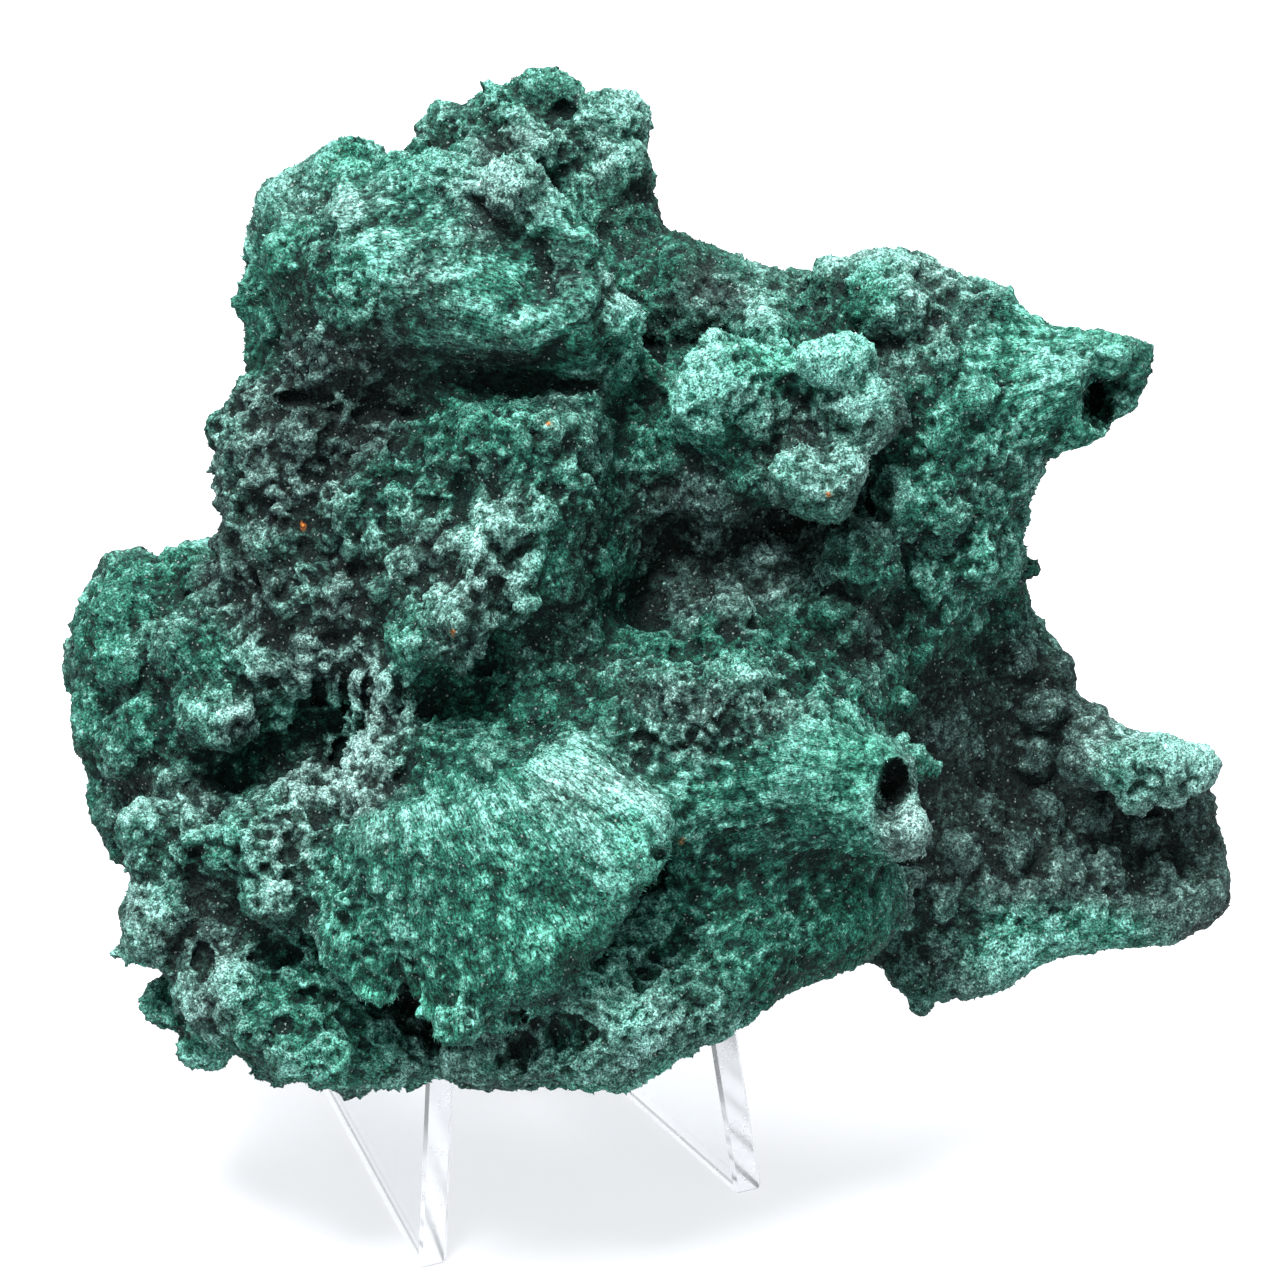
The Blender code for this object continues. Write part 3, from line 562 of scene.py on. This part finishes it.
def grow_knobs(places, normals, triangles, rng):
    """Small round knobs over the knobby regions: places and triangles, in metres."""
    where, facing, _, _ = scatter(places, normals, triangles, KNOB_TRIES, rng)
    shown = to_display(where)
    values, _ = region_values(shown)
    patches = smooth_noise(shown / COVER_PATCH, SEED + 70)
    crowded = values[:, 1] * (COVER_MEAN + COVER_CHANGE * patches)
    wanted = rng.random(len(where)) < crowded
    where, facing, values = where[wanted], facing[wanted], values[wanted]
    spread = np.clip(np.exp(rng.normal(0, KNOB_SPREAD, len(where))), *KNOB_SPREAD_LIMITS)
    radius = values[:, 0] * spread * MM
    kept = spaced(where, radius * KNOB_SPACING)[:MOST_KNOBS]
    where, facing, radius = where[kept], facing[kept], radius[kept]
    offset = radius * rng.uniform(*KNOB_OFFSETS, len(where))
    middle = where + facing * offset[:, None]
    crowd, crowd_triangles = lumpy_balls(middle, radius, 2, SMALL_UNEVEN, rng)
    alone, alone_radius = single_knobs(places, normals)
    large, large_triangles = lumpy_balls(alone, alone_radius, 3, LARGE_UNEVEN, rng)
    return np.vstack([crowd, large]), np.vstack([crowd_triangles, large_triangles + len(crowd)])


def rib_pattern(shown, focus, finer=1.0):
    """Ribs that radiate from each point's focus, about -1 to 1."""
    away = shown - focus
    length = np.linalg.norm(away, axis=1)[:, None]
    direction = away / np.maximum(length, TINY)
    along = length / RIB_LENGTH * RIB_DRIFT
    return layered_noise(direction * RIBS * finer + along, 2, SEED)


def clump_height(shown, values):
    """Height of the crust's larger clumps in millimetres, by how clumpy its region is."""
    height = np.zeros(len(shown))
    for layer, (size, rise) in enumerate(CLUMPS):
        packed = packed_knobs(bent(shown, size, SEED + 50), SEED + 40 + 10 * layer)
        height += rise * (packed - PACKED_MEAN)
    return height * values[:, 6]


def push_holes(shown):
    """Points (across, up, out) with the holes of HOLES pushed back into them."""
    shown = shown.copy()
    for across, up, half_width, half_height, depth in HOLES:
        round_off = ((shown[:, 0] - across) / half_width) ** 2
        round_off += ((shown[:, 1] - up) / half_height) ** 2
        inside = np.nonzero(round_off < 1)[0]
        foremost = shown[inside, 2].max()
        inside = inside[shown[inside, 2] > foremost - HOLE_REACH]
        shown[inside, 2] -= depth * np.sqrt(1 - round_off[inside])
    return shown


def fine_height(shown, values, focus, rng):
    """Height of ribs, granules, pits and grain in millimetres."""
    fibre = values[:, 2]
    height = rib_pattern(shown, focus) * fibre * RIB_DEPTH
    crust = layered_noise(shown / CRUST_SIZE, 3, SEED + 60)
    granules = packed_knobs(bent(shown, GRANULE_SIZE, SEED + 80), SEED + 70) - PACKED_MEAN
    height += CRUST_RISE * crust * (1 + CRUST_BY_COVER * values[:, 1] - CRUST_BY_FIBRE * fibre)
    height += GRANULE_RISE * granules * (1 - GRANULE_BY_FIBRE * fibre)
    pits = packed_knobs(bent(shown, PIT_SIZE, SEED + 100), SEED + 95)
    height -= PIT_DEPTH * pits**2 * values[:, 3]
    return height + rng.normal(0, GRAIN, len(shown))


def main_part(triangles, number):
    """Which triangles hang together with the most others: loose crumbs are left out."""
    label = np.arange(number)
    while True:
        lowest = label[triangles].min(1)
        lower = label.copy()
        for corner in range(3):
            np.minimum.at(lower, triangles[:, corner], lowest)
        lower = lower[lower]
        if (lower == label).all():
            break
        label = lower
    part = label[triangles[:, 0]]
    return part == np.bincount(part).argmax()


def make_skin(solid, rng):
    """The stone's skin: clumps and knobs fused to the solid's form, then ribs, pits and grain."""
    piece = bpy.data.objects.new("malachite_skin", solid.data.copy())
    bpy.context.scene.collection.objects.link(piece)
    fuse = piece.modifiers.new("fuse", "REMESH")
    fuse.mode = "VOXEL"
    fuse.voxel_size = BASE_VOXEL * MM
    apply_modifiers(piece)
    places, _, triangles = mesh_arrays(piece.data)
    places = neighbour_smooth(places, triangles, BASE_SMOOTHINGS)
    set_places(piece.data, places)
    _, normals, _ = mesh_arrays(piece.data)
    shown = to_display(places)
    values, _ = region_values(shown)
    raised = clump_height(shown, values) - BASE_SINK - KNOB_SINK * values[:, 1]
    places = places + normals * (raised * MM)[:, None]
    set_places(piece.data, places)
    _, normals, _ = mesh_arrays(piece.data)
    knob_places, knob_triangles = grow_knobs(places, normals, triangles, rng)
    grown = new_piece(
        "malachite_grown",
        np.vstack([places, knob_places]),
        np.vstack([triangles, knob_triangles + len(places)]),
    )
    bpy.data.objects.remove(piece)
    fuse = grown.modifiers.new("fuse", "REMESH")
    fuse.mode = "VOXEL"
    fuse.voxel_size = SKIN_VOXEL * MM
    soften = grown.modifiers.new("soften", "SMOOTH")
    soften.iterations = SKIN_SMOOTHINGS
    apply_modifiers(grown)
    places, _, _ = mesh_arrays(grown.data)
    shown = push_holes(to_display(places))
    set_places(grown.data, from_display(shown))
    places, normals, triangles = mesh_arrays(grown.data)
    values, focus = region_values(shown)
    height = fine_height(shown, values, focus, rng)
    set_places(grown.data, places + normals * (height * MM)[:, None])
    thin = grown.modifiers.new("thin", "DECIMATE")
    thin.ratio = min(1, PART_TRIANGLES * len(SKIN_PARTS) / len(triangles))
    apply_modifiers(grown)
    places, normals, triangles = mesh_arrays(grown.data)
    bpy.data.objects.remove(grown)
    return places, normals, triangles[main_part(triangles, len(places))]


def split_skin(places, triangles, tints, ribs):
    """The skin as pieces side by side, each with its share of the triangles."""
    order = np.argsort(to_display(places[triangles].mean(1))[:, 0])
    pieces = []
    for part, chosen in zip(SKIN_PARTS, np.array_split(order, len(SKIN_PARTS))):
        used, corners = np.unique(triangles[chosen], return_inverse=True)
        piece = new_piece(f"malachite_skin_{part}", places[used], corners.reshape(-1, 3))
        paint(piece.data, tints[used])
        store(piece.data, "ribs", ribs[used])
        piece.data.shade_smooth()
        pieces.append(piece)
    return pieces


def mixed(first, second, share):
    return first + (second - first) * np.clip(share, 0, 1)[:, None]


def stone_colours(places, normals, hollow):
    """Colour for each point: painted highlight on crowns and upward faces, painted shade in the
    hollows.
    """
    shown = to_display(places)
    values, focus = region_values(shown)
    # A region's lightness is partly its own and partly painted shade in recesses and painted
    # highlight on upward ledges.
    fibre, tone_and_painted_light, green = values[:, 2], values[:, 4], values[:, 5]
    cloudy = layered_noise(shown / CLOUD_SIZE, 3, SEED + 5)
    mottled = layered_noise(shown / MOTTLE_SIZE, 2, SEED + 9)
    speckled = smooth_noise(shown / SPECKLE_SIZE, SEED + 13)
    ribs = rib_pattern(shown, focus, RIB_FINER)
    # Painted highlight on upward faces and painted shade on downward ones.
    upward = np.clip(normals[:, 2], -1, 1)
    grit = MOTTLE_LIGHT * mottled + SPECKLE_LIGHT * speckled
    grit = grit * (1 - MOTTLE_LOST_ON_FIBRES * fibre) + RIB_LIGHT * fibre * ribs
    # Painted shade in the hollows and painted highlight on the crowns.
    painted_hollow_shade = HOLLOW_PAINTED_SHADE + HOLLOW_PAINTED_SHADE_BY_COVER * values[:, 1]
    painted_hollow_shade = painted_hollow_shade * np.clip(hollow, *HOLLOW_LIMITS)
    light = tone_and_painted_light + LIGHT_START + CLOUD_LIGHT * cloudy + grit + UPWARD_PAINTED_LIGHT * upward - painted_hollow_shade
    body = DARK
    for colour, gain, start in TINT_STEPS:
        body = mixed(body, colour, light * gain - start)
    greener = green + GREEN_CHANGE * layered_noise(shown / GREEN_PATCH, 2, SEED + 21)
    greener = np.clip(greener, 0, 1)
    luminance = body.mean(1)[:, None]
    grey = GREY / GREY.mean() * luminance
    lush = DEEP_GREEN / DEEP_GREEN.mean() * luminance
    toned = mixed(body, grey, (GREY_BELOW - greener) * GREY_STRENGTH)
    toned = mixed(toned, lush, (greener - LUSH_ABOVE) * LUSH_STRENGTH)
    apart = np.linalg.norm(shown[:, None, :2] - SPECKS[None], axis=2).min(1)
    speck = (SPECK_RADIUS * (1 + SPECK_RAGGED * mottled) - apart) / SPECK_EDGE
    toned = mixed(toned, RUST, np.where(shown[:, 2] > 0, speck, 0))
    return np.clip(toned, DARKEST, 1)


def hollowness(places, normals, triangles, rounds, span):
    """How far each point lies under its surroundings, against a span in millimetres."""
    around = neighbour_smooth(places, triangles, rounds)
    return ((around - places) * normals).sum(1) / (span * MM)


def paint(mesh, colours):
    layer = mesh.color_attributes.new("tint", "FLOAT_COLOR", "POINT")
    full = np.column_stack([colours, np.ones(len(colours))])
    layer.data.foreach_set("color", full.astype(np.float32).ravel())


def store(mesh, name, vectors):
    layer = mesh.attributes.new(name, "FLOAT_VECTOR", "POINT")
    layer.data.foreach_set("vector", vectors.astype(np.float32).ravel())


def make_nap(index, places, normals, triangles, colours, rng):
    """One piece of the nap: pointed fibre tips, each a closed solid of four triangles."""
    shown_middle = to_display(places[triangles].mean(1))
    front = shown_middle[:, 2] / NAP_FADE_DEPTH + NAP_MIDDLE_SHARE
    front = np.clip(front, NAP_LEAST_SHARE, 1)
    where, facing, picked, share = scatter(places, normals, triangles, TIPS_PER_PIECE, rng, front)
    shown = to_display(where)
    values, focus = region_values(shown)
    fibre = values[:, 2]
    away = (shown - focus) / np.linalg.norm(shown - focus, axis=1)[:, None]
    flow = np.stack([away[:, 0], -away[:, 2], away[:, 1]], axis=1) @ np.array(DISPLAY).T
    flow = flow - (flow * facing).sum(1)[:, None] * facing
    lean = (TIP_LEAN + FIBRE_LEAN * fibre)[:, None]
    jitter = rng.normal(0, 1, where.shape) * (TIP_JITTER - FIBRE_STEADIES * fibre)[:, None]
    pointing = facing + flow * lean + jitter
    pointing /= np.linalg.norm(pointing, axis=1)[:, None]
    length = TIP_LENGTH + (FIBRE_LENGTH - TIP_LENGTH) * fibre
    length = length * rng.uniform(*LENGTH_RANGE, len(where)) * MM
    width = TIP_WIDTH + (FIBRE_WIDTH - TIP_WIDTH) * fibre
    width = width * rng.uniform(*WIDTH_RANGE, len(where)) * MM
    side = np.cross(pointing, rng.normal(0, 1, where.shape))
    side /= np.linalg.norm(side, axis=1)[:, None]
    other = np.cross(pointing, side)
    foot = where - facing * TIP_ROOT * MM
    corners = [
        foot + width[:, None] * (math.cos(angle) * side + math.sin(angle) * other)
        for angle in (0, 2 * math.pi / 3, 4 * math.pi / 3)
    ]
    tip = foot + pointing * length[:, None]
    tip_places = np.stack([*corners, tip], axis=1).reshape(-1, 3)
    form = np.array(((0, 2, 1), (0, 1, 3), (1, 2, 3), (2, 0, 3)))
    tip_triangles = (form[None] + (np.arange(len(where)) * 4)[:, None, None]).reshape(-1, 3)
    piece = new_piece(f"malachite_nap_{index}", tip_places, tip_triangles)
    # Painted light on the tips: feet darkened as painted shade, and a few tips painted pale as
    # glints.
    ground = (colours[picked] * share[..., None]).sum(1)
    spark = rng.random(len(where))
    bright = np.exp(rng.normal(0, TIP_TINT_SPREAD, len(where)))[:, None] * ground
    sparkling = np.where(spark > SPARK_FROM, SPARK_SHARE, DULL_SHARE * spark)
    bright = mixed(bright, PALE * SPARK_SHINE, sparkling)
    tinted = np.stack([ground * FOOT_SHADE] * 3 + [bright], axis=1).reshape(-1, 3)
    paint(piece.data, np.clip(tinted, DARKEST, 1))
    return piece


def nodes_of(name):
    made = bpy.data.materials.new(name)
    made.use_nodes = True
    tree = made.node_tree
    return made, tree, tree.nodes["Principled BSDF"]


def link(tree, source, target):
    tree.links.new(source, target)


def math_node(tree, operation, first, second):
    node = tree.nodes.new("ShaderNodeMath")
    node.operation = operation
    for slot, value in zip(node.inputs, (first, second)):
        if isinstance(value, (int, float)):
            slot.default_value = value
        else:
            link(tree, value, slot)
    return node.outputs[0]


def noise_node(tree, vector, scale, detail=2.0, rough=0.5):
    node = tree.nodes.new("ShaderNodeTexNoise")
    node.inputs["Scale"].default_value = scale
    node.inputs["Detail"].default_value = detail
    node.inputs["Roughness"].default_value = rough
    link(tree, vector, node.inputs["Vector"])
    return node.outputs["Fac"]


def ramp_node(tree, value, low, high, bottom=0.0, top=1.0):
    node = tree.nodes.new("ShaderNodeMapRange")
    node.inputs["From Min"].default_value = low
    node.inputs["From Max"].default_value = high
    node.inputs["To Min"].default_value = bottom
    node.inputs["To Max"].default_value = top
    link(tree, value, node.inputs["Value"])
    return node.outputs[0]


def mix_colours(tree, share, first, second, blend="MIX"):
    node = tree.nodes.new("ShaderNodeMix")
    node.data_type = "RGBA"
    node.blend_type = blend
    slots = (node.inputs[0], node.inputs[6], node.inputs[7])
    for slot, value in zip(slots, (share, first, second)):
        if isinstance(value, (int, float)):
            slot.default_value = value
        elif isinstance(value, tuple):
            slot.default_value = (*value, 1)
        else:
            link(tree, value, slot)
    return node.outputs[2]


def stone_material():
    """Velvety crust: the vertex tint broken up by grain, ribs and crystals of random brightness,
    with painted glints: a few lone crystals pale and glossier.
    """
    made, tree, shader = nodes_of("malachite")
    tint = tree.nodes.new("ShaderNodeAttribute")
    tint.attribute_name = "tint"
    ribs = tree.nodes.new("ShaderNodeAttribute")
    ribs.attribute_name = "ribs"
    where = tree.nodes.new("ShaderNodeTexCoord").outputs["Object"]
    grain = noise_node(tree, where, GRAIN_SCALE, 3, 0.7)
    fibres = noise_node(tree, ribs.outputs["Vector"], STREAK_SCALE, 3, 0.65)
    crystals = tree.nodes.new("ShaderNodeTexVoronoi")
    crystals.inputs["Scale"].default_value = CRYSTAL_SCALE
    link(tree, where, crystals.inputs["Vector"])
    lone = tree.nodes.new("ShaderNodeSeparateColor")
    link(tree, crystals.outputs["Color"], lone.inputs["Color"])
    sugary = math_node(tree, "MULTIPLY", ramp_node(tree, grain, 0.32, 0.68, 0.45, 1.6),
                       ramp_node(tree, lone.outputs[1], 0, 1, 0.45, 1.6))
    both = math_node(tree, "MULTIPLY", sugary, ramp_node(tree, fibres, 0.34, 0.66, 0.12, 2.0))
    dusted = mix_colours(tree, 1.0, tint.outputs["Color"], both, "MULTIPLY")
    # Painted glints: a few lone crystals get a pale colour and a lower roughness.
    spark = math_node(tree, "GREATER_THAN", lone.outputs[0], PAINTED_GLINTS_FROM)
    sparkle = math_node(tree, "MULTIPLY", spark, PAINTED_GLINT_SHARE)
    coloured = mix_colours(tree, sparkle, dusted, PAINTED_GLINT_COLOUR)
    link(tree, coloured, shader.inputs["Base Color"])
    rough = ramp_node(tree, spark, 0, 1, STONE_ROUGHNESS, CRYSTAL_ROUGHNESS)
    link(tree, rough, shader.inputs["Roughness"])
    bump = tree.nodes.new("ShaderNodeBump")
    bump.inputs["Strength"].default_value = 0.75
    bump.inputs["Distance"].default_value = STONE_BUMP
    height = math_node(tree, "ADD", grain, math_node(tree, "MULTIPLY", fibres, 0.8))
    link(tree, height, bump.inputs["Height"])
    link(tree, bump.outputs["Normal"], shader.inputs["Normal"])
    shader.inputs["Specular IOR Level"].default_value = 0.12
    return made


def nap_material():
    """Silky fibre tips: the tint, with painted shade at their feet and a few painted glints, and a
    slight gloss.
    """
    made, tree, shader = nodes_of("malachite_fibres")
    tint = tree.nodes.new("ShaderNodeAttribute")
    tint.attribute_name = "tint"
    where = tree.nodes.new("ShaderNodeTexCoord").outputs["Object"]
    grain = noise_node(tree, where, NAP_GRAIN_SCALE, 2, 0.6)
    varied = mix_colours(tree, 1.0, tint.outputs["Color"],
                         ramp_node(tree, grain, 0.3, 0.7, 0.6, 1.5), "MULTIPLY")
    link(tree, varied, shader.inputs["Base Color"])
    link(tree, ramp_node(tree, grain, 0.3, 0.7, 0.35, 0.6), shader.inputs["Roughness"])
    shader.inputs["Specular IOR Level"].default_value = 0.25
    return made


def acrylic_material():
    """Clear cast acrylic with faint waviness, hairline scuffs and frosted cut edges."""
    made, tree, shader = nodes_of("acrylic")
    shader.inputs["Base Color"].default_value = ACRYLIC_TINT
    shader.inputs["IOR"].default_value = ACRYLIC_IOR
    where = tree.nodes.new("ShaderNodeTexCoord").outputs["Object"]
    scuffs = noise_node(tree, where, SCUFF_SCALE, 4, 0.7)
    facing = tree.nodes.new("ShaderNodeNewGeometry").outputs["Normal"]
    parts = tree.nodes.new("ShaderNodeSeparateXYZ")
    link(tree, facing, parts.inputs[0])
    across = math_node(tree, "ABSOLUTE", parts.outputs[0], 0)
    edge = math_node(tree, "LESS_THAN", across, EDGE_FACING)
    rough = math_node(tree, "ADD", ramp_node(tree, scuffs, 0.45, 0.8, 0.015, 0.12),
                      math_node(tree, "MULTIPLY", edge, EDGE_FROST))
    link(tree, rough, shader.inputs["Roughness"])
    clearness = ramp_node(tree, edge, 0, 1, 1, EDGE_CLEARNESS)
    link(tree, clearness, shader.inputs["Transmission Weight"])
    bump = tree.nodes.new("ShaderNodeBump")
    bump.inputs["Strength"].default_value = 0.04
    bump.inputs["Distance"].default_value = 0.2 * MM
    link(tree, noise_node(tree, where, WAVE_SCALE, 1), bump.inputs["Height"])
    link(tree, bump.outputs["Normal"], shader.inputs["Normal"])
    return made


def floor_material():
    made, _, shader = nodes_of("floor")
    shader.inputs["Base Color"].default_value = FLOOR_COLOUR
    shader.inputs["Roughness"].default_value = 0.85
    shader.inputs["Emission Color"].default_value = FLOOR_GLOW
    shader.inputs["Emission Strength"].default_value = FLOOR_GLOW_STRENGTH
    return made


def dress_stone():
    rng = np.random.default_rng(SEED)
    places, normals, triangles = make_skin(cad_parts["malachite"], rng)
    # Hollowness, which gives the colour its painted shade in hollows and painted highlight on
    # crowns.
    hollow = np.zeros(len(places))
    for rounds, span, share in HOLLOW_WIDTHS:
        hollow += share * hollowness(places, normals, triangles, rounds, span)
    tints = stone_colours(places, normals, hollow)
    shown = to_display(places)
    values, focus = region_values(shown)
    away = shown - focus
    length = np.linalg.norm(away, axis=1)[:, None]
    streaked = away / length * RIBS + length / RIB_LENGTH * STREAK_DRIFT
    ribs = np.where(values[:, 2:3] > STREAKS_FROM, streaked, shown * CRUST_STREAKS_PER_MM)
    crust = stone_material()
    for piece in split_skin(places, triangles, tints, ribs):
        piece.data.materials.append(crust)
        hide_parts("malachite")
        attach(piece, "root")
    fibres = nap_material()
    for index in range(NAP_PIECES):
        nap = make_nap(index + 1, places, normals, triangles, tints, rng)
        nap.data.materials.append(fibres)
        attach(nap, "root")


def dress_easel():
    clear = acrylic_material()
    for name in ("easel_left_side", "easel_right_side", "easel_brace"):
        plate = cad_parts[name]
        plate.data.materials.clear()
        plate.data.materials.append(clear)


def add_area_light(name, place, size, power):
    """A soft light at a place in metres, aimed at the stone."""
    lamp = bpy.data.lights.new(name, "AREA")
    lamp.shape = "DISK"
    lamp.size = size
    lamp.energy = power
    holder = bpy.data.objects.new(name, lamp)
    bpy.context.scene.collection.objects.link(holder)
    holder.location = place
    aim = VIEW_CENTRE - Vector(place)
    holder.rotation_euler = aim.to_track_quat("-Z", "Y").to_euler()


def build_stage():
    """The pale floor, the lights and the camera."""
    mesh = bpy.data.meshes.new("floor")
    corners = [(-1, -1, 0), (1, -1, 0), (1, 1, 0), (-1, 1, 0)]
    mesh.from_pydata([Vector(corner) * FLOOR_REACH for corner in corners], [], [(0, 1, 2, 3)])
    floor = bpy.data.objects.new("floor", mesh)
    bpy.context.scene.collection.objects.link(floor)
    mesh.materials.append(floor_material())
    world = bpy.data.worlds.new("studio")
    world.use_nodes = True
    backdrop = world.node_tree.nodes["Background"]
    backdrop.inputs["Color"].default_value = SKY_COLOUR
    backdrop.inputs["Strength"].default_value = SKY_STRENGTH
    bpy.context.scene.world = world
    for light in LIGHTS:
        add_area_light(*light)
    camera_data = bpy.data.cameras.new("camera")
    camera_data.sensor_width = SENSOR
    camera_data.lens = SENSOR * CAMERA_DISTANCE / VIEW_WIDTH
    camera = bpy.data.objects.new("camera", camera_data)
    bpy.context.scene.collection.objects.link(camera)
    outward = DISPLAY @ Vector((0, -1, 0))
    placed = Matrix.Translation(VIEW_CENTRE + outward * CAMERA_DISTANCE)
    camera.matrix_world = placed @ DISPLAY.to_4x4() @ Matrix.Rotation(math.pi / 2, 4, "X")
    bpy.context.scene.camera = camera
    bpy.context.scene.view_settings.view_transform = "Standard"


build_stage()
dress_stone()
dress_easel()

bpy.context.view_layer.update()
